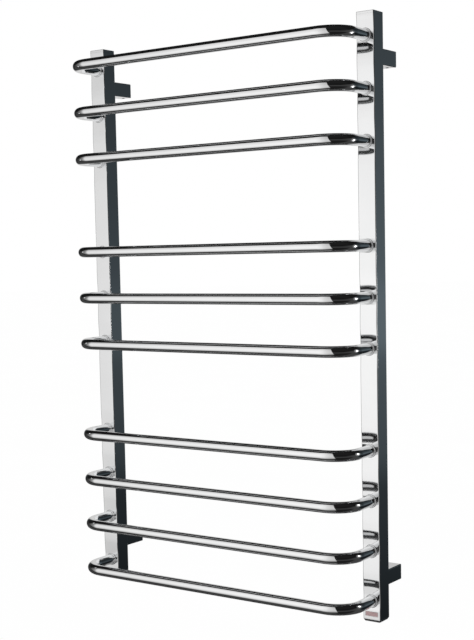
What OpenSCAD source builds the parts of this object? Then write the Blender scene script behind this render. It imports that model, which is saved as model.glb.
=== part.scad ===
// Wall-mounted heated towel ladder.
// Two square uprights carry round rails that stand forward of them and bend
// back into the uprights' front faces. Four short square arms behind the
// uprights slide over blocks that are screwed to the wall, and a set screw
// under each arm locks it. A heating cable runs through every rail.
// Millimetres. The wall is the plane Y = 0, the front is -Y, and +Z is up.
// The origin is the centre of the four fixing holes, on the wall.

/* [Ladder] */
// Overall width across both uprights
rack_w = 600; // [450:10:750]
// Overall height of the uprights
rack_h = 1000; // [985:5:1100]
// Height of the lowest rail's centre above the bottom
first_rail = 35.5; // [30:0.5:40]
// Distance from one rail position to the next
rail_pitch = 84.2; // [80:0.1:85]

/* [Uprights] */
// Width and depth of the square upright
post = 32; // [28:1:38]
// Wall thickness of the upright
post_wall = 1.5; // [1.2:0.1:2]
// Radius of the upright's long edges
post_edge = 1.5; // [1:0.1:2]
// Thickness of the plate that closes each end
cap_t = 4; // [3:0.5:6]
// Rounding of the end plate's outer edge
cap_edge = 2; // [1:0.25:2.5]

/* [Rails] */
// Outside diameter of a rail
rail_d = 19; // [16:0.5:20]
// Wall thickness of a rail
rail_wall = 1.5; // [1:0.1:2]
// Distance from the uprights' front face to the rail's centre line
rail_reach = 80; // [60:1:100]
// Bend radius at the rail's centre line
bend_r = 43; // [38:1:50]
// Outside diameter of the ring round each rail end
ring_d = 23; // [22:0.5:26]
// Thickness of the ring
ring_t = 2; // [1.5:0.1:3]

/* [Wall arms] */
// Width and height of the square arm
arm = 26; // [24:0.5:28]
// Wall thickness of the arm
arm_wall = 3; // [2.5:0.25:3]
// Distance from the wall to the back of the uprights
standoff = 50; // [42:1:60]
// Distance from the middle of the ladder up or down to each arm
arm_z = 430; // [415:5:440]
// Clearance between the arm's end and the wall
arm_gap = 0.5; // [0.3:0.1:1]

/* [Wall blocks] */
// Depth of the block from the wall
block_l = 24; // [20:1:26]
// Diameter of the fixing hole
fix_d = 5; // [4:0.1:5.5]
// Diameter of the cable hole
cable_hole_d = 8; // [7:0.1:8]
// Drop of the fixing hole below the arm's centre line
fix_drop = 5; // [4.8:0.1:5.2]
// Diameter of the set screw
set_d = 5; // [4:0.5:5]
// Length of the set screw
set_l = 4; // [3.5:0.5:5]

/* [Heating and wiring] */
// Diameter of the heating cable
heat_d = 5; // [4:0.5:5.5]
// Bend radius of the heating cable inside the uprights
heat_bend = 12; // [10:1:13]
// Diameter of the single leads
lead_d = 2.2; // [1.8:0.1:2.4]
// Bore of the grommet for the supply cable
entry_d = 6.2; // [5.5:0.1:6.4]

/* [Badge] */
// Width of the blank badge
badge_w = 24; // [16:1:26]
// Height of the blank badge
badge_h = 8.5; // [6:0.5:10]

/* [Hidden] */
$fn = 48;

// Rails fill slots 0 to 11 except two, which makes groups of 4, 3 and 3
rail_slots = [0, 1, 2, 3, 5, 6, 7, 9, 10, 11];
mid_z = fix_drop;                       // middle of the ladder above the origin
bot_z = mid_z - rack_h / 2;
top_z = mid_z + rack_h / 2;
rail_z = [for (s = rail_slots) bot_z + first_rail + s * rail_pitch];
px = rack_w / 2 - post / 2;             // uprights' centre lines at x = -px and +px
back_y = -standoff;                     // uprights' back face
front_y = back_y - post;                // uprights' front face
mid_y = back_y - post / 2;
rail_y = front_y - rail_reach;          // rails' centre line
rail_r = rail_d / 2;
hole_r = rail_r + 0.05;                 // seat of a rail in the upright
arm_in = arm - 2 * arm_wall;
block_top = arm_in / 2 - 0.1;           // block's top under the arm's roof
block_w = arm_in - 0.8;
block_bot = block_top - block_w;
cable_up = block_top - cable_hole_d / 2 - 1.3;
set_y = -8;
set_tip = block_bot - 0.05;
heat_sag = rail_r - rail_wall - heat_d / 2 - 0.5;   // the cable lies low in the rail
low_arm = mid_z - arm_z;                // centre line of the lower arms

// ---- helpers -------------------------------------------------------------

function unit(v) = v / norm(v);

// Straight round rod from p to q
module rod(p, q, r) {
    d = unit(q - p);
    a = abs(d.z) > 0.5 ? [1, 0, 0] : [0, 0, 1];
    b = cross(d, a);
    multmatrix([[a.x, b.x, d.x, p.x], [a.y, b.y, d.y, p.y], [a.z, b.z, d.z, p.z], [0, 0, 0, 1]])
        cylinder(h = norm(q - p), r = r);
}

// Quarter bend of a round rod at corner c, from direction u to direction v
module elbow(c, u, v, br, r) {
    o = c - u * br + v * br;
    w = cross(u, v);
    multmatrix([[-v.x, u.x, w.x, o.x], [-v.y, u.y, w.y, o.y], [-v.z, u.z, w.z, o.z], [0, 0, 0, 1]])
        rotate_extrude(angle = 90) translate([br, 0]) circle(r = r);
}

// Round rod along right-angled points, with one bend radius for each corner
module rod_path(pts, bends, r) {
    n = len(pts);
    for (i = [0 : n - 2]) {
        d = unit(pts[i + 1] - pts[i]);
        p = i == 0 ? pts[0] : pts[i] + d * bends[i - 1];
        q = i == n - 2 ? pts[n - 1] : pts[i + 1] - d * bends[i];
        rod(p, q, r);
    }
    for (i = [1 : n - 2])
        elbow(pts[i], unit(pts[i] - pts[i - 1]), unit(pts[i + 1] - pts[i]), bends[i - 1], r);
}

// Square bar with rounded long edges, along Z from z = 0
module soft_square(w, h, e) {
    translate([-w / 2 + e, -w / 2, 0]) cube([w - 2 * e, w, h]);
    translate([-w / 2, -w / 2 + e, 0]) cube([w, w - 2 * e, h]);
    for (x = [-1, 1], y = [-1, 1])
        translate([x * (w / 2 - e), y * (w / 2 - e), 0]) cylinder(h = h, r = e);
}

// ---- uprights ------------------------------------------------------------

module upright(side) {
    color("silver") difference() {
        translate([side * px, mid_y, bot_z + cap_t]) soft_square(post, rack_h - 2 * cap_t, post_edge);
        translate([side * px - post / 2 + post_wall, front_y + post_wall, bot_z])
            cube([post - 2 * post_wall, post - 2 * post_wall, rack_h]);
        // seats for the rails
        for (z = rail_z)
            translate([side * px, front_y - 1, z]) rotate([-90, 0, 0]) cylinder(h = post_wall + 2, r = hole_r);
        // wiring holes behind the arms
        for (s = [-1, 1])
            translate([side * px, back_y - post_wall - 1, mid_z + s * arm_z])
                rotate([-90, 0, 0]) cylinder(h = post_wall + 2, r = 6);
    }
}

// End plate with a spigot that enters the upright; up = 1 at the top, -1 at the bottom
module end_cap(side, up) {
    spigot = post - 2 * post_wall - 0.2;
    color("silver") translate([side * px, mid_y, up > 0 ? top_z : bot_z]) rotate([up > 0 ? 0 : 180, 0, 0]) {
        cap_plate();
        translate([-spigot / 2, -spigot / 2, -cap_t - 6]) cube([spigot, spigot, 6]);
    }
}

// Plate from z = -cap_t to 0 whose upper edges are rounded
module cap_plate() {
    intersection() {
        translate([0, 0, -cap_t]) soft_square(post, cap_t, post_edge);
        cap_roll();
        rotate([0, 0, 90]) cap_roll();
    }
}

module cap_roll() {
    union() {
        translate([-post / 2 + cap_edge, -post, -cap_t - 1]) cube([post - 2 * cap_edge, 2 * post, cap_t + 1]);
        translate([-post / 2, -post, -cap_t - 1]) cube([post, 2 * post, cap_t + 1 - cap_edge]);
        for (x = [-1, 1])
            translate([x * (post / 2 - cap_edge), -post, -cap_edge])
                rotate([-90, 0, 0]) cylinder(h = 2 * post, r = cap_edge);
    }
}

// ---- rails ---------------------------------------------------------------

module rail(i) {
    z = rail_z[i];
    inner_y = front_y + post_wall;
    color("gainsboro") difference() {
        rod_path([[-px, inner_y, z], [-px, rail_y, z], [px, rail_y, z], [px, inner_y, z]],
            [bend_r, bend_r], rail_r);
        rod_path([[-px, inner_y + 1, z], [-px, rail_y, z], [px, rail_y, z], [px, inner_y + 1, z]],
            [bend_r, bend_r], rail_r - rail_wall);
    }
}

// Bevelled ring that closes the joint between a rail and the upright
module rail_rings(side) {
    ro = ring_d / 2;
    w = ro - hole_r;
    color("gainsboro") for (z = rail_z)
        translate([side * px, front_y, z]) rotate([90, 0, 0]) rotate_extrude()
            polygon([[hole_r, 0], [ro, 0], [ro, ring_t * 0.45], [ro - w * 0.3, ring_t * 0.8],
                [ro - w * 0.75, ring_t], [hole_r, ring_t]]);
}

// ---- arms, wall blocks and set screws -------------------------------------

module wall_arm(side, up) {
    zc = mid_z + up * arm_z;
    len = standoff - arm_gap;
    color("silver") difference() {
        translate([side * px, back_y, zc]) rotate([-90, 0, 0]) soft_square(arm, len, post_edge);
        translate([side * px - arm_in / 2, back_y - 1, zc - arm_in / 2]) cube([arm_in, len + 2, arm_in]);
        translate([side * px, set_y, zc - arm / 2 - 1]) cylinder(h = arm_wall + 2, r = set_d / 2 + 0.05);
    }
}

module wall_block(side, up) {
    zc = mid_z + up * arm_z;
    color("lightsteelblue") difference() {
        translate([side * px, -block_l, zc + (block_top + block_bot) / 2])
            rotate([-90, 0, 0]) soft_square(block_w, block_l, 1);
        translate([side * px, -block_l - 1, zc - fix_drop]) rotate([-90, 0, 0])
            cylinder(h = block_l + 2, r = fix_d / 2);
        translate([side * px, -block_l - 1, zc + cable_up]) rotate([-90, 0, 0])
            cylinder(h = block_l + 2, r = cable_hole_d / 2);
    }
}

module set_screw(side, up) {
    zc = mid_z + up * arm_z;
    color("dimgray") translate([side * px, set_y, zc + set_tip - set_l]) difference() {
        union() {
            cylinder(h = set_l - 0.6, r = set_d / 2);
            translate([0, 0, set_l - 0.6]) cylinder(h = 0.6, r1 = set_d / 2, r2 = set_d / 2 - 0.6);
        }
        translate([0, 0, -1]) cylinder(h = 3, r = set_d / 4 * 1.1547, $fn = 6);
    }
}

// ---- heating cable ---------------------------------------------------------

heat_z = [for (z = rail_z) z - heat_sag];
heat_start = heat_z[0] + heat_bend + 2;
heat_stop = heat_z[9] - heat_bend - 4;
// The cable enters the lowest rail at the right and crosses every rail in turn
heat_pts = concat([[px, mid_y, heat_start]],
    [for (k = [0 : 9], j = [0 : 3])
        let (s = (k % 2 == 0 ? 1 : -1) * (j < 2 ? 1 : -1))
        [s * px, j == 0 || j == 3 ? mid_y : rail_y, heat_z[k]]],
    [[px, mid_y, heat_stop]]);
heat_bends = [for (k = [0 : 9], j = [0 : 3]) j == 0 || j == 3 ? heat_bend : bend_r];

module heating_cable() {
    color("firebrick") rod_path(heat_pts, heat_bends, heat_d / 2);
}

// Closed sleeve over the cable's far end
module cable_end_seal() {
    color("black") difference() {
        translate([px, mid_y, heat_stop - 16]) cylinder(h = 18, r = heat_d / 2 + 1);
        translate([px, mid_y, heat_stop - 0.1]) cylinder(h = 10, r = heat_d / 2 + 0.05);
    }
}

// Sleeve over the joint between the cable and its leads
splice_top = heat_start + 16;
module cable_splice() {
    color("black") difference() {
        translate([px, mid_y, heat_start - 1.5]) cylinder(h = 17.5, r = heat_d / 2 + 1.3);
        translate([px, mid_y, heat_start - 3]) cylinder(h = 3.1, r = heat_d / 2 + 0.05);
        for (x = [-1, 1])
            translate([px + x * 1.9, mid_y, splice_top - 3]) cylinder(h = 4, r = lead_d / 2 + 0.05);
    }
}

// ---- terminals, leads and cut-out -------------------------------------------

term_z = low_arm + 16;                  // underside of the terminal block
term_h = 16;
term_y = front_y + post_wall + 1;       // block stands off the front wall
pole = 7;                               // poles at px - pole, px and px + pole
pole_y = term_y + 5.5;
lead_y = mid_y + 4.5;
cut_z = (heat_z[3] + heat_z[2]) / 2;    // cut-out between the third and fourth rails
outer_x = px + post / 2 - post_wall;    // inner face of the upright's outer wall
inner_x = px - post / 2 + post_wall;    // inner face of the upright's inner wall
stud_z = term_z + term_h + 11;
stud_y = mid_y - 3;

// Three-pole block for the live, neutral and earth cores
module terminal_block() {
    color("ivory") difference() {
        translate([px - 11, term_y, term_z]) cube([22, 11, term_h]);
        for (x = [-pole, 0, pole]) {
            translate([px + x, pole_y, term_z - 1]) cylinder(h = term_h + 2, r = 1.6);
            translate([px + x, pole_y, term_z + term_h / 2]) rotate([-90, 0, 0])
                cylinder(h = 7, r = 1.65);
        }
    }
}

module terminal_screws() {
    color("goldenrod") for (x = [-pole, 0, pole])
        translate([px + x, term_y + 7.2, term_z + term_h / 2]) rotate([-90, 0, 0]) difference() {
            cylinder(h = 4.6, r = 1.6);
            translate([-2, -0.3, 3.8]) cube([4, 0.6, 2]);
        }
}

// The live lead goes up to the cut-out and comes back down to the splice
module lead_live() {
    r = lead_d / 2;
    color("saddlebrown") {
        rod_path([[px + pole, pole_y, term_z + term_h - 4], [px + pole, pole_y, term_z + term_h + 8],
            [px + pole, lead_y, term_z + term_h + 8], [px + pole, lead_y, cut_z - 12]], [4, 4], r);
        rod_path([[px + 1.9, mid_y, splice_top - 2.9], [px + 1.9, mid_y, splice_top + 4.5],
            [px + 12, mid_y, splice_top + 4.5], [px + 12, mid_y, cut_z - 20],
            [px + 12, lead_y + 3.5, cut_z - 20], [px + 12, lead_y + 3.5, cut_z - 12]], [3, 3, 3, 3], r);
    }
}

module lead_neutral() {
    color("steelblue") rod_path([[px - 1.9, mid_y, splice_top - 2.9], [px - 1.9, mid_y, splice_top + 4.5],
        [px - pole, mid_y, splice_top + 4.5], [px - pole, mid_y, term_z - 6],
        [px - pole, pole_y, term_z - 6], [px - pole, pole_y, term_z + 4]], [2, 2, 2, 2], lead_d / 2);
}

// From the ring terminal on the stud to the block's middle pole
module lead_earth() {
    z = stud_z - 6;
    color("olivedrab") rod_path([[inner_x + 2.6, stud_y + 5.5, stud_z], [inner_x + 2.6, stud_y + 11, stud_z],
        [inner_x + 2.6, stud_y + 11, z], [px, stud_y + 11, z], [px, pole_y, z],
        [px, pole_y, term_z + term_h - 4]], [2.5, 2.5, 3, 3], lead_d / 2);
}

// Flat cut-out that opens the live lead if the upright overheats
module thermal_cutout() {
    color("gainsboro") translate([outer_x - 9.2, lead_y - 1.6, cut_z - 12]) cube([9.2, 8.4, 24]);
}

// Spring clip that holds the cut-out against the upright's outer wall
module cutout_clip() {
    x0 = outer_x - 10.2;
    color("lightsteelblue") difference() {
        translate([x0, lead_y - 2.5, cut_z - 5]) cube([10.2, 10.2, 10]);
        translate([x0 + 0.8, lead_y - 1.8, cut_z - 6]) cube([10, 8.8, 12]);
    }
}

module earth_stud() {
    color("silver") translate([inner_x, stud_y, stud_z]) rotate([0, 90, 0]) cylinder(h = 9, r = 2);
}

module earth_nut() {
    color("goldenrod") translate([inner_x + 2.4, stud_y, stud_z]) rotate([0, 90, 0]) difference() {
        cylinder(h = 3.2, r = 7 / 2 * 1.1547, $fn = 6);
        translate([0, 0, -1]) cylinder(h = 6, r = 2.05);
    }
}

// Ring terminal with a barrel that grips the earth lead
module earth_ring() {
    color("goldenrod") difference() {
        union() {
            translate([inner_x + 1.4, stud_y, stud_z]) rotate([0, 90, 0]) cylinder(h = 0.8, r = 4.2);
            translate([inner_x + 1.4, stud_y, stud_z - 1.6]) cube([0.8, 7, 3.2]);
            translate([inner_x + 2.6, stud_y + 4.6, stud_z]) rotate([-90, 0, 0]) cylinder(h = 3.4, r = 1.7);
        }
        translate([inner_x, stud_y, stud_z]) rotate([0, 90, 0]) cylinder(h = 4, r = 2.05);
        translate([inner_x + 2.6, stud_y + 5.4, stud_z]) rotate([-90, 0, 0]) cylinder(h = 4, r = lead_d / 2 + 0.05);
    }
}

// Sleeve that lines the lower right block's cable hole
module entry_grommet() {
    zc = low_arm + cable_up;
    color("black") translate([px, 0, zc]) difference() {
        union() {
            translate([0, -block_l - 1.5, 0]) rotate([-90, 0, 0]) cylinder(h = block_l + 1.5, r = cable_hole_d / 2 - 0.05);
            translate([0, -block_l - 2, 0]) rotate([-90, 0, 0]) cylinder(h = 1.8, r = cable_hole_d / 2 + 1);
        }
        translate([0, -block_l - 4, 0]) rotate([-90, 0, 0]) cylinder(h = block_l + 6, r = entry_d / 2);
    }
}

// ---- badge -----------------------------------------------------------------

module badge() {
    zc = bot_z + 13.6;
    color("indianred") translate([px, front_y, zc]) rotate([90, 0, 0]) {
        translate([-badge_w / 2 + 1, -badge_h / 2, 0]) cube([badge_w - 2, badge_h, 0.5]);
        translate([-badge_w / 2, -badge_h / 2 + 1, 0]) cube([badge_w, badge_h - 2, 0.5]);
        for (x = [-1, 1], y = [-1, 1])
            translate([x * (badge_w / 2 - 1), y * (badge_h / 2 - 1), 0]) cylinder(h = 0.5, r = 1);
    }
}

// ---- assembly ----------------------------------------------------------------

upright(-1);  // upright_left
upright(1);  // upright_right
end_cap(-1, 1);  // end_cap_top_left
end_cap(1, 1);  // end_cap_top_right
end_cap(-1, -1);  // end_cap_bottom_left
end_cap(1, -1);  // end_cap_bottom_right
// rail_01 is the top rail
rail(9);  // rail_01
rail(8);  // rail_02
rail(7);  // rail_03
rail(6);  // rail_04
rail(5);  // rail_05
rail(4);  // rail_06
rail(3);  // rail_07
rail(2);  // rail_08
rail(1);  // rail_09
rail(0);  // rail_10
rail_rings(-1);  // rail_rings_left
rail_rings(1);  // rail_rings_right
wall_arm(-1, 1);  // arm_top_left
wall_arm(1, 1);  // arm_top_right
wall_arm(-1, -1);  // arm_bottom_left
wall_arm(1, -1);  // arm_bottom_right
wall_block(-1, 1);  // wall_block_top_left
wall_block(1, 1);  // wall_block_top_right
wall_block(-1, -1);  // wall_block_bottom_left
wall_block(1, -1);  // wall_block_bottom_right
set_screw(-1, 1);  // set_screw_top_left
set_screw(1, 1);  // set_screw_top_right
set_screw(-1, -1);  // set_screw_bottom_left
set_screw(1, -1);  // set_screw_bottom_right
heating_cable();
cable_end_seal();
cable_splice();
terminal_block();
terminal_screws();
lead_live();
lead_neutral();
lead_earth();
thermal_cutout();
cutout_clip();
earth_stud();
earth_nut();
earth_ring();
entry_grommet();
badge();
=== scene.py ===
"""Polished towel ladder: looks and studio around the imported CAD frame."""

import math

import bmesh
import bpy
from mathutils import Matrix, Vector


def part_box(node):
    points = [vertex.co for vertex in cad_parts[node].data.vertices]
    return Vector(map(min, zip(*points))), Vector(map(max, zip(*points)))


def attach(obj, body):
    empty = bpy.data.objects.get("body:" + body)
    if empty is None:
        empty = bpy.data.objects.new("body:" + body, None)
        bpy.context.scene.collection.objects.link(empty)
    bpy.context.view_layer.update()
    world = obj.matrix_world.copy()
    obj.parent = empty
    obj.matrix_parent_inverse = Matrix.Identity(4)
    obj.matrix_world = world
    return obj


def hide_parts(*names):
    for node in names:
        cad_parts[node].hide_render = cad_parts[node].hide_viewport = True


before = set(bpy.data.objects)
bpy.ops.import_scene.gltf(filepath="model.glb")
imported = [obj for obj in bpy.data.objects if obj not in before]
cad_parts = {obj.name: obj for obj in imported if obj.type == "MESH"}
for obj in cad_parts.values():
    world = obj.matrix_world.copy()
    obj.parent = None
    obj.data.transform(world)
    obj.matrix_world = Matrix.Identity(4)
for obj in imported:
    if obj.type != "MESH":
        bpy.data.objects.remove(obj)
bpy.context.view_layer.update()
scene = bpy.context.scene
MM = 0.001

# ---------------------------------------------------------------- camera ----
YAW, PITCH, ROLL = 0.6364, -0.0837, -0.0227
FOCAL_PX, AXIS_X, AXIS_Y = 1283.66, 203.83, 359.31
fwd = Vector((-math.sin(YAW) * math.cos(PITCH), math.cos(YAW) * math.cos(PITCH), math.sin(PITCH)))
flat_right = Vector((math.cos(YAW), math.sin(YAW), 0.0))
flat_up = flat_right.cross(fwd)
cam_x = flat_right * math.cos(ROLL) + flat_up * math.sin(ROLL)
cam_y = -flat_right * math.sin(ROLL) + flat_up * math.cos(ROLL)
cam_data = bpy.data.cameras.new("camera")
cam = bpy.data.objects.new("camera", cam_data)
scene.collection.objects.link(cam)
cam_data.sensor_width = 36.0
cam_data.lens = FOCAL_PX * 36.0 / 640.0
cam_data.shift_x = (237.0 - AXIS_X) / 640.0
cam_data.shift_y = (AXIS_Y - 320.0) / 640.0
cam_data.clip_start, cam_data.clip_end = 0.05, 60.0
cam_data.dof.use_dof = False
m = Matrix.Identity(4)
for row in range(3):
    m[row][0], m[row][1], m[row][2] = cam_x[row], cam_y[row], -fwd[row]
    m[row][3] = (1.3119, -1.9273, 0.1263)[row]
cam.matrix_world = m
scene.camera = cam

# ------------------------------------------------------- sizes from the frame
up_lo, up_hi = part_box("upright_right")
lf_lo, lf_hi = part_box("upright_left")
POST = up_hi.x - up_lo.x                     # 32 mm
PX = (up_lo.x + up_hi.x) / 2                 # upright's centre line
FRONT_Y, BACK_Y = up_lo.y, up_hi.y
MID_Y = (FRONT_Y + BACK_Y) / 2
WALL = 1.5 * MM
EDGE = 1.5 * MM
RAILS = ["rail_%02d" % k for k in range(1, 11)]
rail_box = {r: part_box(r) for r in RAILS}
RAIL_Z = {r: (b[0].z + b[1].z) / 2 for r, b in rail_box.items()}
RAIL_R = (rail_box["rail_01"][1].z - rail_box["rail_01"][0].z) / 2
RAIL_Y = rail_box["rail_01"][0].y + RAIL_R
RAIL_END_Y = rail_box["rail_01"][1].y
BEND_R = 43 * MM
TOP_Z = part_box("end_cap_top_right")[1].z
BOT_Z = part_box("end_cap_bottom_right")[0].z

# --------------------------------------------------------------- mesh tools --


def new_object(name, bm, body, slot, *nodes):
    """A finished bmesh as a piece that rides on a body and stands for CAD nodes."""
    bmesh.ops.recalc_face_normals(bm, faces=bm.faces)
    me = bpy.data.meshes.new(name)
    bm.to_mesh(me)
    bm.free()
    ob = bpy.data.objects.new(name, me)
    scene.collection.objects.link(ob)
    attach(ob, body)
    if nodes:
        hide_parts(*nodes)
    return ob


def smooth(ob, angle=40.0):
    """Smooth shading with sharp edges above an angle."""
    me = ob.data
    me.shade_smooth()
    me.set_sharp_from_angle(angle=math.radians(angle))


def weighted(ob, weight=100):
    """Flat faces keep their exact normals, and rounded edges turn between them."""
    mod = ob.modifiers.new("weighted", "WEIGHTED_NORMAL")
    mod.mode = "FACE_AREA"
    mod.weight = weight
    mod.keep_sharp = True


def strip(bm, rings, close=False):
    """Quads between successive rings of equal length; each ring is closed."""
    n = len(rings[0])
    pairs = list(zip(rings, rings[1:])) + ([(rings[-1], rings[0])] if close else [])
    for a, b in pairs:
        for i in range(n):
            j = (i + 1) % n
            bm.faces.new((a[i], a[j], b[j], b[i]))


def rounded_square(hw, r, seg=8, front=()):
    """Outline of a square of half width hw with rounded corners, anticlockwise. front divides the -v side."""
    pts = []
    for cx, cy, a0 in ((1, 1, 0), (-1, 1, 90), (-1, -1, 180), (1, -1, 270)):
        if a0 == 270:
            pts += [(f * (hw - r), -hw) for f in front]
        for k in range(seg + 1):
            a = math.radians(a0 + 90.0 * k / seg)
            pts.append((cx * (hw - r) + r * math.cos(a), cy * (hw - r) + r * math.sin(a)))
    return pts


def apply_all(ob):
    """Replaces an object's mesh by the one its modifiers make."""
    dg = bpy.context.evaluated_depsgraph_get()
    me = bpy.data.meshes.new_from_object(ob.evaluated_get(dg), depsgraph=dg)
    ob.modifiers.clear()
    old = ob.data
    ob.data = me
    me.name = ob.name
    bpy.data.meshes.remove(old)


def drill(ob, holes, seg=64):
    """Cuts round holes: each is (centre, axis, radius, length)."""
    bm = bmesh.new()
    for centre, axis, r, length in holes:
        rot = Vector((0, 0, 1)).rotation_difference(Vector(axis)).to_matrix().to_4x4()
        bmesh.ops.create_cone(bm, cap_ends=True, segments=seg, radius1=r, radius2=r, depth=length,
                              matrix=Matrix.Translation(centre) @ rot)
    me = bpy.data.meshes.new("cutter")
    bm.to_mesh(me)
    bm.free()
    cutter = bpy.data.objects.new("cutter", me)
    scene.collection.objects.link(cutter)
    mod = ob.modifiers.new("holes", "BOOLEAN")
    mod.operation = "DIFFERENCE"
    mod.solver = "EXACT"
    mod.object = cutter
    bpy.context.view_layer.update()
    apply_all(ob)
    bpy.data.objects.remove(cutter)
    bpy.data.meshes.remove(me)


# -------------------------------------------------------------------- rails --


def rail_stations():
    """(x, y, outward x, outward y) along the rail's centre line."""
    st = []
    leg0, leg1 = RAIL_END_Y, RAIL_Y + BEND_R
    left, right = -PX + BEND_R, PX - BEND_R
    for y in (leg0, leg0 - 1.5 * MM, FRONT_Y - 3 * MM, leg1 + 1 * MM):
        st.append((-PX, y, -1.0, 0.0))
    n = 40
    for k in range(n + 1):
        t = math.radians(180 + 90.0 * k / n)
        st.append((left + BEND_R * math.cos(t), leg1 + BEND_R * math.sin(t), math.cos(t), math.sin(t)))
    inner = [left + 1 * MM + (right - left - 2 * MM) * k / 12 for k in range(13)]
    for x in inner:
        st.append((x, RAIL_Y, 0.0, -1.0))
    for k in range(n + 1):
        t = math.radians(270 + 90.0 * k / n)
        st.append((right + BEND_R * math.cos(t), leg1 + BEND_R * math.sin(t), math.cos(t), math.sin(t)))
    for y in (leg1 + 1 * MM, FRONT_Y - 3 * MM, leg0 - 1.5 * MM, leg0):
        st.append((PX, y, 1.0, 0.0))
    return st


STATIONS = rail_stations()
SEG = 72


def make_rail(node):
    z = RAIL_Z[node]
    bm = bmesh.new()
    shells = []
    for r in (RAIL_R, RAIL_R - WALL):
        rings = []
        for x, y, ex, ey in STATIONS:
            rings.append([bm.verts.new((x + r * math.cos(a) * ex, y + r * math.cos(a) * ey, z + r * math.sin(a)))
                          for a in (2 * math.pi * i / SEG for i in range(SEG))])
        strip(bm, rings)
        shells.append(rings)
    for end in (0, -1):
        strip(bm, [shells[0][end], shells[1][end]])
    ob = new_object(node + "_tube", bm, "rack", "rail_steel", node)
    smooth(ob, 50)
    return ob


rail_obs = [make_rail(r) for r in RAILS]


# -------------------------------------------------------------------- rings --


def make_rings(side, node):
    """Rolled collars that close the rails' joints, one round each rail end."""
    r0, r1, t = RAIL_R + 0.05 * MM, 11.5 * MM, 2.0 * MM
    seat = -0.7 * MM                            # the base sits in the dished face
    prof = [(r0, seat), (r1, seat), (r1, 0.0), (r1, 0.45 * t)]
    cx, cz, rx, rz = r1 - 1.25 * MM, 0.45 * t, 1.25 * MM, 0.55 * t
    for k in range(1, 9):
        a = math.radians(90.0 * k / 8)
        prof.append((cx + rx * math.cos(a), cz + rz * math.sin(a)))
    prof.append((r0 + 0.25 * MM, t))
    prof.append((r0, t - 0.2 * MM))
    bm = bmesh.new()
    for r in RAILS:
        z = RAIL_Z[r]
        rings = []
        for pr, ph in prof:
            rings.append([bm.verts.new((side * PX + pr * math.cos(a), FRONT_Y + 0.9 * MM - ph, z + pr * math.sin(a)))
                          for a in (2 * math.pi * i / SEG for i in range(SEG))])
        strip(bm, rings, close=True)
    ob = new_object(node + "_collars", bm, "rack", "rail_steel", node)
    smooth(ob, 45)
    weighted(ob)
    apply_all(ob)
    return ob


ring_obs = [make_rings(-1, "rail_rings_left"), make_rings(1, "rail_rings_right")]

# ----------------------------------------------------------------- uprights --


def square_tube(hw, wall, r, levels, place):
    """Hollow square tube. levels are (along, inset) of the outer outline; place maps (u, v, along) to a point."""
    bm = bmesh.new()
    outer = []
    for along, inset in levels:
        rr = max(r - inset * 0.5, 0.4 * MM)
        outer.append([bm.verts.new(place(u, v, along)) for u, v in rounded_square(hw - inset, rr)])
    inner = []
    for along in (levels[0][0], levels[-1][0]):
        inner.append([bm.verts.new(place(u, v, along)) for u, v in rounded_square(hw - wall, 0.35 * MM)])
    strip(bm, outer)
    strip(bm, inner)
    strip(bm, [outer[0], inner[0]])
    strip(bm, [outer[-1], inner[1]])
    return bm


def ease(a, b, v):
    t = min(max((v - a) / (b - a), 0.0), 1.0)
    return t * t * (3.0 - 2.0 * t)


FRONT_COLS = [-0.95, -0.87, -0.77, -0.65, -0.52, -0.38, -0.2, 0.0, 0.2, 0.38, 0.52, 0.65, 0.77, 0.87, 0.95]
SLOPE_OVER, SLOPE_UNDER, DISH_END = 0.052, 0.039, 36 * MM


def dish(side, u, z):
    """How far the front wall is drawn in round the rail joints."""
    near = min(RAIL_Z.values(), key=lambda v: abs(v - z))
    d = max(abs(z - near), 9 * MM)
    soft = 4 * MM
    if d > DISH_END + soft:
        return 0.0
    steep = SLOPE_UNDER + (SLOPE_OVER - SLOPE_UNDER) * min(max((z - near) / (18 * MM) + 0.5, 0.0), 1.0)
    if near == RAIL_Z["rail_04"]:
        steep *= 0.3                                        # this joint is nearly flat
    depth = steep * (DISH_END - d) if d < DISH_END - soft else steep * (DISH_END + soft - d) ** 2 / (4 * soft)
    if side > 0 and z < near and near == RAIL_Z["rail_10"]:
        depth *= 1.0 - ease(9 * MM, 17 * MM, near - z)      # the badge needs a flat face
    depth *= ease(0.0, 9 * MM, min(z - up_lo.z, up_hi.z - z))
    return depth * (1.0 - 0.10 * (u / (POST / 2)) ** 2)


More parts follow.
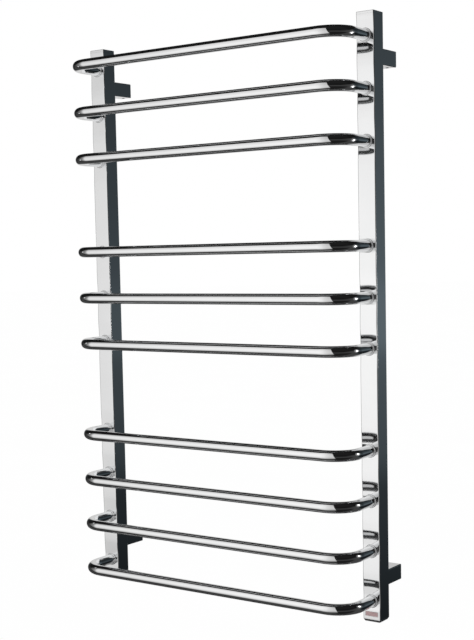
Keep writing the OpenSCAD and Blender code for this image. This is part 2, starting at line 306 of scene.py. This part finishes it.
def make_upright(side, node):
    z0, z1 = up_lo.z, up_hi.z
    cx = side * PX
    lip = 0.12 * MM
    zs = {z0 + 0.35 * MM, z1 - 0.35 * MM, z0 + 3 * MM, z1 - 3 * MM, z0 + 6 * MM, z1 - 6 * MM}
    for zr in RAIL_Z.values():
        for d in (0, 3, 6, 9, 11, 13, 15, 17, 20, 23, 26, 29, 32, 34, 36, 38, 40):
            for v in (zr - d * MM, zr + d * MM):
                if z0 + 7 * MM < v < z1 - 7 * MM:
                    zs.add(round(v, 6))
    zs = sorted(zs)
    bm = bmesh.new()
    outer, inner = [], []
    for z, inset in [(z0, lip)] + [(z, 0.0) for z in zs] + [(z1, lip)]:
        rr = max(EDGE - inset * 0.5, 0.4 * MM)
        for rings, pts in ((outer, rounded_square(POST / 2 - inset, rr, 8, FRONT_COLS)),
                           (inner, rounded_square(POST / 2 - WALL, 0.35 * MM, 8, FRONT_COLS))):
            rings.append([bm.verts.new((cx + u, MID_Y + v + (dish(side, u, z) if v < 0 else 0.0), z)) for u, v in pts])
    strip(bm, outer)
    strip(bm, inner)
    strip(bm, [outer[0], inner[0]])
    strip(bm, [outer[-1], inner[-1]])
    ob = new_object(node + "_tube", bm, "rack", "polished_steel", node)
    holes = [((cx, FRONT_Y + 1.5 * MM, RAIL_Z[r]), (0, 1, 0), RAIL_R + 0.05 * MM, 7 * MM) for r in RAILS]
    for arm in ("arm_top_right", "arm_bottom_right"):
        lo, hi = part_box(arm)
        holes.append(((cx, BACK_Y - WALL / 2, (lo.z + hi.z) / 2), (0, 1, 0), 6 * MM, WALL * 2))
    drill(ob, holes)
    smooth(ob, 40)
    weighted(ob, 50)
    apply_all(ob)
    return ob


upright_obs = [make_upright(-1, "upright_left"), make_upright(1, "upright_right")]


def make_cap(side, up, node):
    """End plate with rolled edges and a spigot inside the tube."""
    cx, zt = side * PX, (TOP_Z if up > 0 else BOT_Z)
    hw, t = POST / 2, 4.0 * MM
    roll, bevel = (0.8 * MM, 0.0) if up > 0 else (0.5 * MM, 1.8 * MM)      # the lower plates have a bevelled rim
    levels = [(t, 0.12 * MM), (t - 0.08 * MM, 0.0), (t - 0.16 * MM, 0.03 * MM)] if bevel else [(t, 0.12 * MM), (t - 0.2 * MM, 0.0)]
    a0 = math.radians(28.0) if bevel else 0.0
    for k in range(0, 9):
        a = a0 + (math.pi / 2 - a0) * k / 8
        levels.append((roll * (1.0 - math.sin(a)) / (1.0 - math.sin(a0)), bevel + roll * (math.cos(a0) - math.cos(a))))
    bm = bmesh.new()
    rings = []
    for depth, inset in levels:
        rr = max(EDGE - inset * 0.3, 0.4 * MM)
        rings.append([bm.verts.new((cx + u, MID_Y + v, zt - up * depth)) for u, v in rounded_square(hw - inset, rr)])
    strip(bm, rings)
    bm.faces.new(rings[-1])
    sp = hw - WALL - 0.1 * MM
    a = [bm.verts.new((cx + u, MID_Y + v, zt - up * t)) for u, v in rounded_square(sp, 0.35 * MM)]
    b = [bm.verts.new((cx + u, MID_Y + v, zt - up * (t + 6 * MM))) for u, v in rounded_square(sp, 0.35 * MM)]
    strip(bm, [rings[0], a])
    strip(bm, [a, b])
    bm.faces.new(b)
    ob = new_object(node + "_plate", bm, "rack", "polished_steel", node)
    smooth(ob, 35)
    weighted(ob)
    apply_all(ob)
    return ob


cap_obs = [make_cap(s, u, "end_cap_%s_%s" % (v, h)) for s, h in ((-1, "left"), (1, "right"))
           for u, v in ((1, "top"), (-1, "bottom"))]

# --------------------------------------------------------------------- arms --


def make_arm(node):
    lo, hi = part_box(node)
    cx, cz, hw = (lo.x + hi.x) / 2, (lo.z + hi.z) / 2, (hi.x - lo.x) / 2
    levels = [(lo.y, 0.0), (hi.y - 0.8 * MM, 0.0), (hi.y - 0.5 * MM, 0.06 * MM), (hi.y - 0.23 * MM, 0.23 * MM),
              (hi.y - 0.06 * MM, 0.5 * MM), (hi.y, 0.8 * MM)]
    bm = square_tube(hw, 3.0 * MM, EDGE, levels, lambda u, v, a: (cx + u, a, cz + v))
    ob = new_object(node + "_tube", bm, "rack", "polished_steel", node)
    drill(ob, [((cx, -8 * MM, lo.z + 1.5 * MM), (0, 0, 1), 2.55 * MM, 5 * MM)], 48)
    smooth(ob, 35)
    weighted(ob)
    apply_all(ob)
    return ob


CORNERS = ["top_left", "top_right", "bottom_left", "bottom_right"]
arm_obs = [make_arm("arm_" + c) for c in CORNERS]

# -------------------------------------------------------------------- badge --
badge_lo, badge_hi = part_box("badge")


def make_badge():
    """Blank enamel plate in a thin bright frame."""
    cx, cz = (badge_lo.x + badge_hi.x) / 2, (badge_lo.z + badge_hi.z) / 2
    hx, hz, t = (badge_hi.x - badge_lo.x) / 2, (badge_hi.z - badge_lo.z) / 2, badge_hi.y - badge_lo.y

    def outline(inset, y):
        r, pts = max(1.0 * MM - inset, 0.35 * MM), []
        for sx, sz, a0 in ((1, 1, 0), (-1, 1, 90), (-1, -1, 180), (1, -1, 270)):
            for k in range(7):
                a = math.radians(a0 + 15.0 * k)
                pts.append((cx + sx * (hx - inset - r) + r * math.cos(a), y, cz + sz * (hz - inset - r) + r * math.sin(a)))
        return pts

    bm = bmesh.new()
    y1, y0 = badge_hi.y, badge_lo.y
    rings = [[bm.verts.new(p) for p in outline(i, y)] for i, y in (
        (0.0, y1), (0.0, y0 + 0.2 * MM), (0.06 * MM, y0 + 0.06 * MM), (0.2 * MM, y0), (0.55 * MM, y0),
        (0.62 * MM, y0 + 0.05 * MM), (0.68 * MM, y0 + 0.16 * MM))]
    strip(bm, rings)
    bm.faces.new(rings[0])
    # the enamel is slightly domed
    inner = rings[-1]
    last = None
    for inset, y in ((1.1 * MM, y0 + 0.13 * MM), (1.9 * MM, y0 + 0.10 * MM)):
        ring = [bm.verts.new(p) for p in outline(inset, y)]
        strip(bm, [inner, ring])
        inner = ring
    top = bm.faces.new(inner)
    ob = new_object("badge_plate", bm, "rack", "badge_enamel", "badge")
    smooth(ob, 40)
    return ob, hx - 0.66 * MM, hz - 0.66 * MM, cx, cz


badge_ob, badge_hx, badge_hz, badge_cx, badge_cz = make_badge()

# ---------------------------------------------------------------- node tools --


def lin(*rgb):
    """8-bit display values to linear colour."""
    out = []
    for c in rgb:
        c = c / 255.0
        out.append(c / 12.92 if c <= 0.04045 else ((c + 0.055) / 1.055) ** 2.4)
    return (*out, 1.0)


class Expr:
    """A node socket with arithmetic."""

    def __init__(self, tree, sock):
        self.tree, self.sock = tree, sock

    def op(self, kind, *others, clamp=False):
        nd = self.tree.nodes.new("ShaderNodeMath")
        nd.operation, nd.use_clamp = kind, clamp
        for k, val in enumerate((self, *others)):
            if isinstance(val, Expr):
                self.tree.links.new(val.sock, nd.inputs[k])
            else:
                nd.inputs[k].default_value = val
        return Expr(self.tree, nd.outputs[0])

    def __add__(self, o): return self.op("ADD", o)
    def __sub__(self, o): return self.op("SUBTRACT", o)
    def __mul__(self, o): return self.op("MULTIPLY", o)
    def __truediv__(self, o): return self.op("DIVIDE", o)
    def abs(self): return self.op("ABSOLUTE")

    def step(self, a, b):
        """0 before a, 1 after b, smooth between; a > b makes it fall."""
        nd = self.tree.nodes.new("ShaderNodeMapRange")
        nd.interpolation_type = "SMOOTHSTEP"
        self.tree.links.new(self.sock, nd.inputs["Value"])
        nd.inputs["From Min"].default_value = min(a, b)
        nd.inputs["From Max"].default_value = max(a, b)
        nd.inputs["To Min"].default_value = 0.0 if a < b else 1.0
        nd.inputs["To Max"].default_value = 1.0 if a < b else 0.0
        return Expr(self.tree, nd.outputs["Result"])

    def curve(self, lo, hi, points):
        """Piecewise linear value along this input, from (input, value) points."""
        t = (self - lo) / (hi - lo)
        nd = self.tree.nodes.new("ShaderNodeValToRGB")
        ramp = nd.color_ramp
        ramp.interpolation = "LINEAR"
        els = ramp.elements
        while len(els) > 1:
            els.remove(els[-1])
        top = max(v for _, v in points)
        for k, (pos, val) in enumerate(points):
            e = els[0] if k == 0 else els.new((pos - lo) / (hi - lo))
            e.position = (pos - lo) / (hi - lo)
            e.color = (val / top,) * 3 + (1.0,)
        self.tree.links.new(t.sock, nd.inputs[0])
        return Expr(self.tree, nd.outputs[0]) * top


def blend(a, b, f):
    """a where f is 0, b where f is 1."""
    return a + (b - a) * f if isinstance(b, Expr) else a + (f * b - a * f)


# ------------------------------------------------------------------- studio --
# A lit sheet in front, a lit board behind, dark ceiling, floor side and right
# wall, and a slate card back right. Azimuth 0 faces the rails' front.
world = bpy.data.worlds.new("studio")
scene.world = world
world.use_nodes = True
wt = world.node_tree
wt.nodes.clear()
coord = wt.nodes.new("ShaderNodeTexCoord")
split = wt.nodes.new("ShaderNodeSeparateXYZ")
wt.links.new(coord.outputs["Generated"], split.inputs[0])
dx, dy, dz = (Expr(wt, split.outputs[k]) for k in range(3))
az = dx.op("ARCTAN2", dy * -1.0) * (180.0 / math.pi)
el = dz.op("ARCSINE") * (180.0 / math.pi)

lit = az.curve(-180.0, 180.0, [
    (-180, .05), (-125, .05), (-112, .026), (-90, .038), (-82, .08), (-75, .12), (-60, .12), (-40, .02), (22, .014), (66, .012),
    (72, .018), (84, .031), (90, .046), (100, .06), (112, .08), (180, .05)])
back = dx.op("ARCTAN2", dy) * (180.0 / math.pi)
card = el.curve(-90.0, 90.0, [(-90, .02), (-24, .012), (-16, .012), (-13, .022), (-10.5, .028), (-9.2, .056), (-5, .072), (-4.4, .098), (-2, .096), (-1, .078),
                              (2, .064), (8, .050), (10, .044), (25, .022), (90, .02)])
card = card * back.curve(-180.0, 180.0, [(-180, .85), (-60, .85), (0, 1.1), (26, 1.25), (31, 1.22), (39, .84), (180, .84)])
card = card * (el.abs().step(7.0, 3.0) * back.step(38, 31) * 0.18 + 1.0)
on_card = back.step(-66, -56) * back.step(66, 52) * el.abs().step(36.0, 30.0)
lit = blend(lit, card, on_card)
slope = dy / (dz.abs() + 0.0001)
up = slope.step(1.35, 1.10) * dz.step(0.10, 0.20)
down = slope.step(1.35, 1.10) * dz.step(-0.10, -0.20)
lit = blend(lit, 0.010, up)
lit = blend(lit, 0.055, down)
wall_right = az.step(16, 22) * az.step(104, 94)
lit = blend(lit, 0.014, wall_right * el.abs().step(20, 30))

tint = wt.nodes.new("ShaderNodeMix")
tint.data_type = "RGBA"
tint.inputs["A"].default_value = (1.0, 1.0, 1.0, 1.0)
tint.inputs["B"].default_value = (0.80, 1.0, 1.12, 1.0)
wt.links.new(on_card.sock, tint.inputs["Factor"])
col = wt.nodes.new("ShaderNodeVectorMath")
col.operation = "SCALE"
wt.links.new(tint.outputs["Result"], col.inputs[0])
wt.links.new(lit.sock, col.inputs["Scale"])
studio = wt.nodes.new("ShaderNodeBackground")
wt.links.new(col.outputs[0], studio.inputs["Color"])
paper = wt.nodes.new("ShaderNodeBackground")
paper.inputs["Color"].default_value = (1.0, 1.0, 1.0, 1.0)
path = wt.nodes.new("ShaderNodeLightPath")
pick = wt.nodes.new("ShaderNodeMixShader")
wt.links.new(path.outputs["Is Camera Ray"], pick.inputs[0])
wt.links.new(studio.outputs[0], pick.inputs[1])
wt.links.new(paper.outputs[0], pick.inputs[2])
wo = wt.nodes.new("ShaderNodeOutputWorld")
wt.links.new(pick.outputs[0], wo.inputs["Surface"])

scene.view_settings.view_transform = "Standard"
scene.view_settings.look = "None"
scene.view_settings.exposure = 0.0
scene.view_settings.gamma = 1.0


def lit_sheet(name, y, left, right, lean, z0, z1, across, upward):
    """A flat light in the plane y, unseen by the camera. across and upward are its brightness along x and z."""
    bm = bmesh.new()
    rows = []
    for k in range(9):
        z = z0 + (z1 - z0) * k / 8
        rows.append([bm.verts.new((left + (right - lean * z - left) * i / 8, y, z)) for i in range(9)])
    for a, b in zip(rows, rows[1:]):
        for i in range(8):
            bm.faces.new((a[i], a[i + 1], b[i + 1], b[i]))
    me = bpy.data.meshes.new(name)
    bm.to_mesh(me)
    bm.free()
    ob = bpy.data.objects.new(name, me)
    scene.collection.objects.link(ob)
    ob.visible_camera = False
    ob.visible_shadow = False
    mat = bpy.data.materials.new(name)
    mat.use_nodes = True
    t = mat.node_tree
    t.nodes.clear()
    tc = t.nodes.new("ShaderNodeTexCoord")
    sp = t.nodes.new("ShaderNodeSeparateXYZ")
    t.links.new(tc.outputs["Object"], sp.inputs[0])
    x, z = Expr(t, sp.outputs[0]), Expr(t, sp.outputs[2])
    power = x.curve(left, right + abs(lean) * 3, across) * z.curve(z0, z1, upward)
    em = t.nodes.new("ShaderNodeEmission")
    em.inputs["Color"].default_value = (1.0, 0.992, 0.984, 1.0)
    t.links.new(power.sock, em.inputs["Strength"])
    out = t.nodes.new("ShaderNodeOutputMaterial")
    t.links.new(em.outputs[0], out.inputs["Surface"])
    me.materials.append(mat)
    return ob


front_sheet = lit_sheet("front_sheet", -1.35, -9.0, 0.76, 0.12, -3.0, 1.75, [
    (-9.0, .07), (-4.7, .115), (-2.8, .19), (-1.96, .35), (-1.68, .60), (-1.45, .80), (-1.1, .90), (-0.9, .95), (-0.7, .97),
    (-0.42, 1.0), (0.0, .90), (0.15, .80), (0.27, .765), (0.4, .71), (0.55, .67), (1.12, .65)], [
    (-3.0, .055), (-1.75, .06), (-1.5, .25), (-1.3, .52), (-1.1, .74), (-0.9, .87), (-0.75, .96), (-0.66, .99), (-0.5, 1.04), (-0.3, 1.07),
    (-0.1, 1.09), (0.3, 1.06), (0.45, 1.03), (0.56, 1.0), (0.75, .945), (1.2, .90), (1.75, .85)])
back_board = lit_sheet("back_board", 1.5, -2.7, -0.42, 0.0, -0.95, 0.95, [
    (-2.7, .10), (-2.3, .60), (-1.8, .72), (-0.65, .72), (-0.42, .55)], [
    (-0.95, .45), (-0.8, .95), (0.8, 1.0), (0.95, .6)])


def spot_lamp(name, place, towards, width, height, radiance):
    """A small bright panel with the given radiance, unseen by the camera."""
    data = bpy.data.lights.new(name, "AREA")
    data.shape = "ELLIPSE"
    data.size, data.size_y = width, height
    data.energy = radiance * math.pi * math.pi * width * height / 4
    ob = bpy.data.objects.new(name, data)
    scene.collection.objects.link(ob)
    ob.location = place
    ob.rotation_euler = (Vector(towards) - ob.location).to_track_quat("-Z", "Y").to_euler()
    ob.visible_camera = False
    return ob


spot_lamp("lamp_right", (1.22, 0.39, 0.0), (PX, RAIL_Y, 0.0), 0.12, 0.32, 5.0)
spot_lamp("glow_right", (1.30, 0.42, 0.0), (PX, RAIL_Y, 0.0), 0.28, 0.58, 0.65)
spot_lamp("haze_right", (1.38, 0.45, 0.0), (PX, RAIL_Y, 0.0), 0.55, 1.00, 0.16)
spot_lamp("lamp_left", (-1.04, -0.40, 0.16), (-PX, RAIL_Y, 0.0), 0.04, 0.05, 3.2)
spot_lamp("glow_left", (-1.12, -0.43, 0.17), (-PX, RAIL_Y, 0.0), 0.14, 0.18, 0.45)

# -------------------------------------------------------------------- floor --


def make_floor():
    bm = bmesh.new()
    rings, n = [], 64
    for r in (0.4, 1.0, 2.5, 6.0, 14.0, 30.0):
        rings.append([bm.verts.new((r * math.cos(2 * math.pi * i / n), r * math.sin(2 * math.pi * i / n), BOT_Z - 0.25))
                      for i in range(n)])
    strip(bm, rings)
    bm.faces.new(rings[0])
    bmesh.ops.recalc_face_normals(bm, faces=bm.faces)
    if bm.faces[:][0].normal.z < 0:
        bmesh.ops.reverse_faces(bm, faces=bm.faces)
    me = bpy.data.meshes.new("floor")
    bm.to_mesh(me)
    bm.free()
    ob = bpy.data.objects.new("floor", me)
    scene.collection.objects.link(ob)
    ob.visible_glossy = False
    mat = bpy.data.materials.new("floor_paper")
    mat.use_nodes = True
    t = mat.node_tree
    t.nodes.clear()
    tc = t.nodes.new("ShaderNodeTexCoord")
    nz = t.nodes.new("ShaderNodeTexNoise")
    nz.inputs["Scale"].default_value = 3.0
    t.links.new(tc.outputs["Object"], nz.inputs["Vector"])
    mr = t.nodes.new("ShaderNodeMapRange")
    mr.inputs["To Min"].default_value = 0.99
    mr.inputs["To Max"].default_value = 1.0
    t.links.new(nz.outputs["Fac"], mr.inputs["Value"])
    em = t.nodes.new("ShaderNodeEmission")
    t.links.new(mr.outputs["Result"], em.inputs["Color"])
    # seen from below, the floor is clear
    under = t.nodes.new("ShaderNodeNewGeometry")
    clear = t.nodes.new("ShaderNodeBsdfTransparent")
    face = t.nodes.new("ShaderNodeMixShader")
    t.links.new(under.outputs["Backfacing"], face.inputs[0])
    t.links.new(em.outputs[0], face.inputs[1])
    t.links.new(clear.outputs[0], face.inputs[2])
    out = t.nodes.new("ShaderNodeOutputMaterial")
    t.links.new(face.outputs[0], out.inputs["Surface"])
    me.materials.append(mat)
    return ob


floor = make_floor()

# ---------------------------------------------------------------- materials --


class Mat:
    """A principled material with a few helpers; coordinates are the piece's own, in metres."""

    def __init__(self, name, **sockets):
        self.m = bpy.data.materials.new(name)
        self.m.use_nodes = True
        self.t = self.m.node_tree
        self.b = self.t.nodes["Principled BSDF"]
        self.tc = self.t.nodes.new("ShaderNodeTexCoord").outputs["Object"]
        for k, v in sockets.items():
            self.b.inputs[k.replace("_", " ")].default_value = v

    def coords(self, sx=1.0, sy=1.0, sz=1.0, loc=(0, 0, 0)):
        nd = self.t.nodes.new("ShaderNodeMapping")
        nd.inputs["Scale"].default_value = (sx, sy, sz)
        nd.inputs["Location"].default_value = loc
        self.t.links.new(self.tc, nd.inputs["Vector"])
        return nd.outputs[0]

    def noise(self, scale, detail=3.0, rough=0.5, vec=None, distortion=0.0):
        nd = self.t.nodes.new("ShaderNodeTexNoise")
        nd.inputs["Scale"].default_value = scale
        nd.inputs["Detail"].default_value = detail
        nd.inputs["Roughness"].default_value = rough
        nd.inputs["Distortion"].default_value = distortion
        self.t.links.new(vec or self.tc, nd.inputs["Vector"])
        return Expr(self.t, nd.outputs["Fac"])

    def voronoi(self, scale, feature="F1", vec=None):
        nd = self.t.nodes.new("ShaderNodeTexVoronoi")
        nd.feature = feature
        nd.inputs["Scale"].default_value = scale
        self.t.links.new(vec or self.tc, nd.inputs["Vector"])
        return Expr(self.t, nd.outputs["Distance"])

    def xyz(self):
        nd = self.t.nodes.new("ShaderNodeSeparateXYZ")
        self.t.links.new(self.tc, nd.inputs[0])
        return tuple(Expr(self.t, nd.outputs[k]) for k in range(3))

    def ramp(self, fac, stops):
        nd = self.t.nodes.new("ShaderNodeValToRGB")
        els = nd.color_ramp.elements
        while len(els) > 1:
            els.remove(els[-1])
        for k, (pos, colour) in enumerate(stops):
            e = els[0] if k == 0 else els.new(pos)
            e.position, e.color = pos, colour
        self.t.links.new(fac.sock, nd.inputs[0])
        return nd.outputs[0]

    def mixcol(self, a, b, fac):
        nd = self.t.nodes.new("ShaderNodeMix")
        nd.data_type = "RGBA"
        self.t.links.new(fac.sock, nd.inputs["Factor"])
        for key, val in (("A", a), ("B", b)):
            if isinstance(val, tuple):
                nd.inputs[key].default_value = val
            else:
                self.t.links.new(val, nd.inputs[key])
        return nd.outputs["Result"]

    def spread(self, e, lo, hi, a=0.3, b=0.7):
        nd = self.t.nodes.new("ShaderNodeMapRange")
        self.t.links.new(e.sock, nd.inputs["Value"])
        for k, v in (("From Min", a), ("From Max", b), ("To Min", lo), ("To Max", hi)):
            nd.inputs[k].default_value = v
        return Expr(self.t, nd.outputs["Result"])

    def set(self, socket, e):
        self.t.links.new(e.sock if isinstance(e, Expr) else e, self.b.inputs[socket])

    def bump(self, layers):
        """layers: (height, strength, distance in metres), laid one on another."""
        last = None
        for e, strength, dist in layers:
            nd = self.t.nodes.new("ShaderNodeBump")
            nd.inputs["Strength"].default_value = strength
            nd.inputs["Distance"].default_value = dist
            self.t.links.new(e.sock, nd.inputs["Height"])
            if last:
                self.t.links.new(last, nd.inputs["Normal"])
            last = nd.outputs[0]
        self.t.links.new(last, self.b.inputs["Normal"])


def steel(name, lines, tone, rough=(0.030, 0.060)):
    """Mirror-polished stainless steel; lines is the scale triple that stretches the polishing marks."""
    s = Mat(name, Metallic=1.0)
    fine = s.noise(1.0, 4.0, 0.6, s.coords(*lines))
    cloud = s.noise(9.0, 4.0, 0.55)
    smear = s.noise(38.0, 3.0, 0.6, s.coords(1.0, 1.0, 0.35), 0.6)
    spots = s.voronoi(420.0)
    dust = spots.step(0.10, 0.05) * s.noise(55.0, 2.0).step(0.60, 0.70)
    s.set("Base Color", s.mixcol(s.ramp(cloud, [(0.25, lin(*[c - 5 for c in tone])), (0.75, lin(*[c + 2 for c in tone]))]),
                                 lin(tone[0] - 30, tone[1] - 30, tone[2] - 31), dust * 0.5))
    s.set("Roughness", s.spread(smear * 0.6 + cloud * 0.4, rough[0], rough[1]) + fine * 0.012 + dust * 0.10)
    s.bump([(fine, 0.05, 0.00002), (s.noise(22.0, 2.0), 0.10, 0.00006)])
    return s.m


mat_rail = steel("steel_rail", (60.0, 900.0, 900.0), (236, 237, 238))
mat_post = steel("steel_upright", (900.0, 900.0, 55.0), (235, 236, 237))
mat_arm = steel("steel_arm", (900.0, 55.0, 900.0), (235, 236, 237))
mat_cap = steel("steel_cap", (500.0, 500.0, 500.0), (234, 235, 236))


def give(ob, mat):
    """Every slot of the object takes the material."""
    me = ob.data
    if not me.materials:
        me.materials.append(mat)
    for k in range(len(me.materials)):
        me.materials[k] = mat


for ob in rail_obs:
    give(ob, mat_rail)
for ob in ring_obs:
    give(ob, mat_cap)
for ob in upright_obs:
    give(ob, mat_post)
for ob in cap_obs:
    give(ob, mat_cap)
for ob in arm_obs:
    give(ob, mat_arm)


def make_enamel():
    """Muted red enamel in a bright frame; the frame is chosen by the place on the plate."""
    s = Mat("badge_enamel", Coat_Roughness=0.06, IOR=1.5)
    x, y, z = s.xyz()
    edge = 0.35 * MM
    inside = (x - badge_cx).abs().step(badge_hx + edge * 0.3, badge_hx - edge * 0.3) * \
        (z - badge_cz).abs().step(badge_hz + edge * 0.3, badge_hz - edge * 0.3)
    cloud = s.noise(260.0, 4.0, 0.6)
    fleck = s.voronoi(2600.0).step(0.22, 0.10)
    paint = s.mixcol(s.ramp(cloud, [(0.3, lin(186, 150, 151)), (0.7, lin(198, 166, 166))]), lin(216, 190, 189), fleck * 0.35)
    s.set("Base Color", s.mixcol(lin(234, 235, 236), paint, inside))
    s.set("Metallic", inside * -1.0 + 1.0)
    s.set("Roughness", s.spread(cloud, 0.16, 0.24) * inside + (inside * -1.0 + 1.0) * 0.07)
    s.set("Coat Weight", inside * 0.7)
    s.bump([(s.noise(700.0, 3.0), 0.15, 0.00003)])
    return s.m


def make_alloy():
    """Pressure-cast zinc alloy: fine granular skin, flow clouds and brighter worn high spots."""
    s = Mat("cast_alloy", Metallic=1.0)
    skin = s.noise(1500.0, 5.0, 0.65)
    flow = s.noise(60.0, 4.0, 0.6, s.coords(1, 1, 0.4), 1.2)
    pits = s.voronoi(900.0).step(0.12, 0.04) * s.noise(140.0, 2.0).step(0.5, 0.62)
    base = s.ramp(flow, [(0.25, lin(150, 152, 156)), (0.55, lin(172, 174, 177)), (0.8, lin(188, 190, 192))])
    s.set("Base Color", s.mixcol(base, lin(96, 97, 100), pits * 0.8))
    s.set("Roughness", s.spread(skin * 0.5 + flow * 0.5, 0.34, 0.52))
    s.bump([(skin, 0.30, 0.00008), (pits * -1.0 + 1.0, 0.5, 0.00012)])
    return s.m


def make_black_screw():
    s = Mat("black_oxide_steel", Metallic=1.0)
    n = s.noise(2200.0, 4.0, 0.6)
    wear = s.noise(700.0, 3.0).step(0.60, 0.72)
    s.set("Base Color", s.mixcol(s.ramp(n, [(0.3, lin(52, 52, 55)), (0.7, lin(74, 74, 77))]), lin(150, 148, 146), wear * 0.6))
    s.set("Roughness", s.spread(n, 0.30, 0.46))
    s.bump([(n, 0.25, 0.00004)])
    return s.m


def make_rubber(name, lo, hi, rough=(0.55, 0.75), ribs=0.0):
    s = Mat(name, Specular_IOR_Level=0.4)
    n = s.noise(1800.0, 4.0, 0.6)
    big = s.noise(90.0, 3.0)
    bloom = s.noise(35.0, 4.0, 0.6).step(0.55, 0.72)
    s.set("Base Color", s.mixcol(s.ramp(big, [(0.3, lin(*lo)), (0.7, lin(*hi))]), lin(*[min(c + 34, 255) for c in hi]), bloom * 0.25))
    s.set("Roughness", s.spread(n, rough[0], rough[1]))
    layers = [(n, 0.25, 0.00005)]
    if ribs:
        x, y, z = s.xyz()
        layers.append(((z * (2 * math.pi / ribs)).op("SINE"), 0.3, 0.0001))
    s.bump(layers)
    return s.m


def make_plastic(name, lo, hi, rough=(0.32, 0.46)):
    s = Mat(name, IOR=1.5)
    spark = s.noise(2600.0, 3.0, 0.6)
    flow = s.noise(120.0, 3.0, 0.5, s.coords(1, 1, 0.3), 0.8)
    s.set("Base Color", s.ramp(flow, [(0.25, lin(*lo)), (0.75, lin(*hi))]))
    s.set("Roughness", s.spread(spark, rough[0], rough[1]))
    s.bump([(spark, 0.30, 0.00005), (flow, 0.10, 0.00008)])
    return s.m


def make_metal(name, lo, hi, rough=(0.22, 0.38), scale=1600.0):
    s = Mat(name, Metallic=1.0)
    n = s.noise(scale, 4.0, 0.6)
    stain = s.noise(260.0, 4.0, 0.6)
    s.set("Base Color", s.ramp(stain, [(0.25, lin(*lo)), (0.75, lin(*hi))]))
    s.set("Roughness", s.spread(n * 0.6 + stain * 0.4, rough[0], rough[1]))
    s.bump([(n, 0.2, 0.00003)])
    return s.m


give(badge_ob, make_enamel())
alloy, screw_mat = make_alloy(), make_black_screw()
grommet_mat = make_rubber("grommet_rubber", (30, 30, 31), (42, 42, 44))
seal_mat = make_rubber("seal_rubber", (36, 35, 35), (50, 49, 49))
silicone = make_rubber("cable_silicone", (150, 60, 52), (168, 74, 63), (0.42, 0.58))
brass = make_metal("brass", (186, 158, 96), (212, 186, 122))
spring = make_metal("spring_steel", (150, 152, 158), (184, 186, 190))
case = make_plastic("cutout_case", (44, 44, 47), (58, 58, 61))
block = make_plastic("terminal_plastic", (214, 210, 198), (228, 225, 214))
FINISH = {"heating_cable": silicone, "cable_end_seal": seal_mat, "cable_splice": seal_mat, "terminal_block": block,
          "terminal_screws": brass, "earth_nut": brass, "earth_ring": brass, "earth_stud": spring, "cutout_clip": spring,
          "thermal_cutout": case, "entry_grommet": grommet_mat,
          "lead_live": make_plastic("lead_brown", (104, 62, 38), (122, 76, 48)),
          "lead_neutral": make_plastic("lead_blue", (40, 92, 168), (52, 108, 186)),
          "lead_earth": make_plastic("lead_green", (70, 140, 52), (150, 168, 50))}
for c in CORNERS:
    FINISH["wall_block_" + c] = alloy
    FINISH["set_screw_" + c] = screw_mat
for node, mat in FINISH.items():
    give(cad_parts[node], mat)
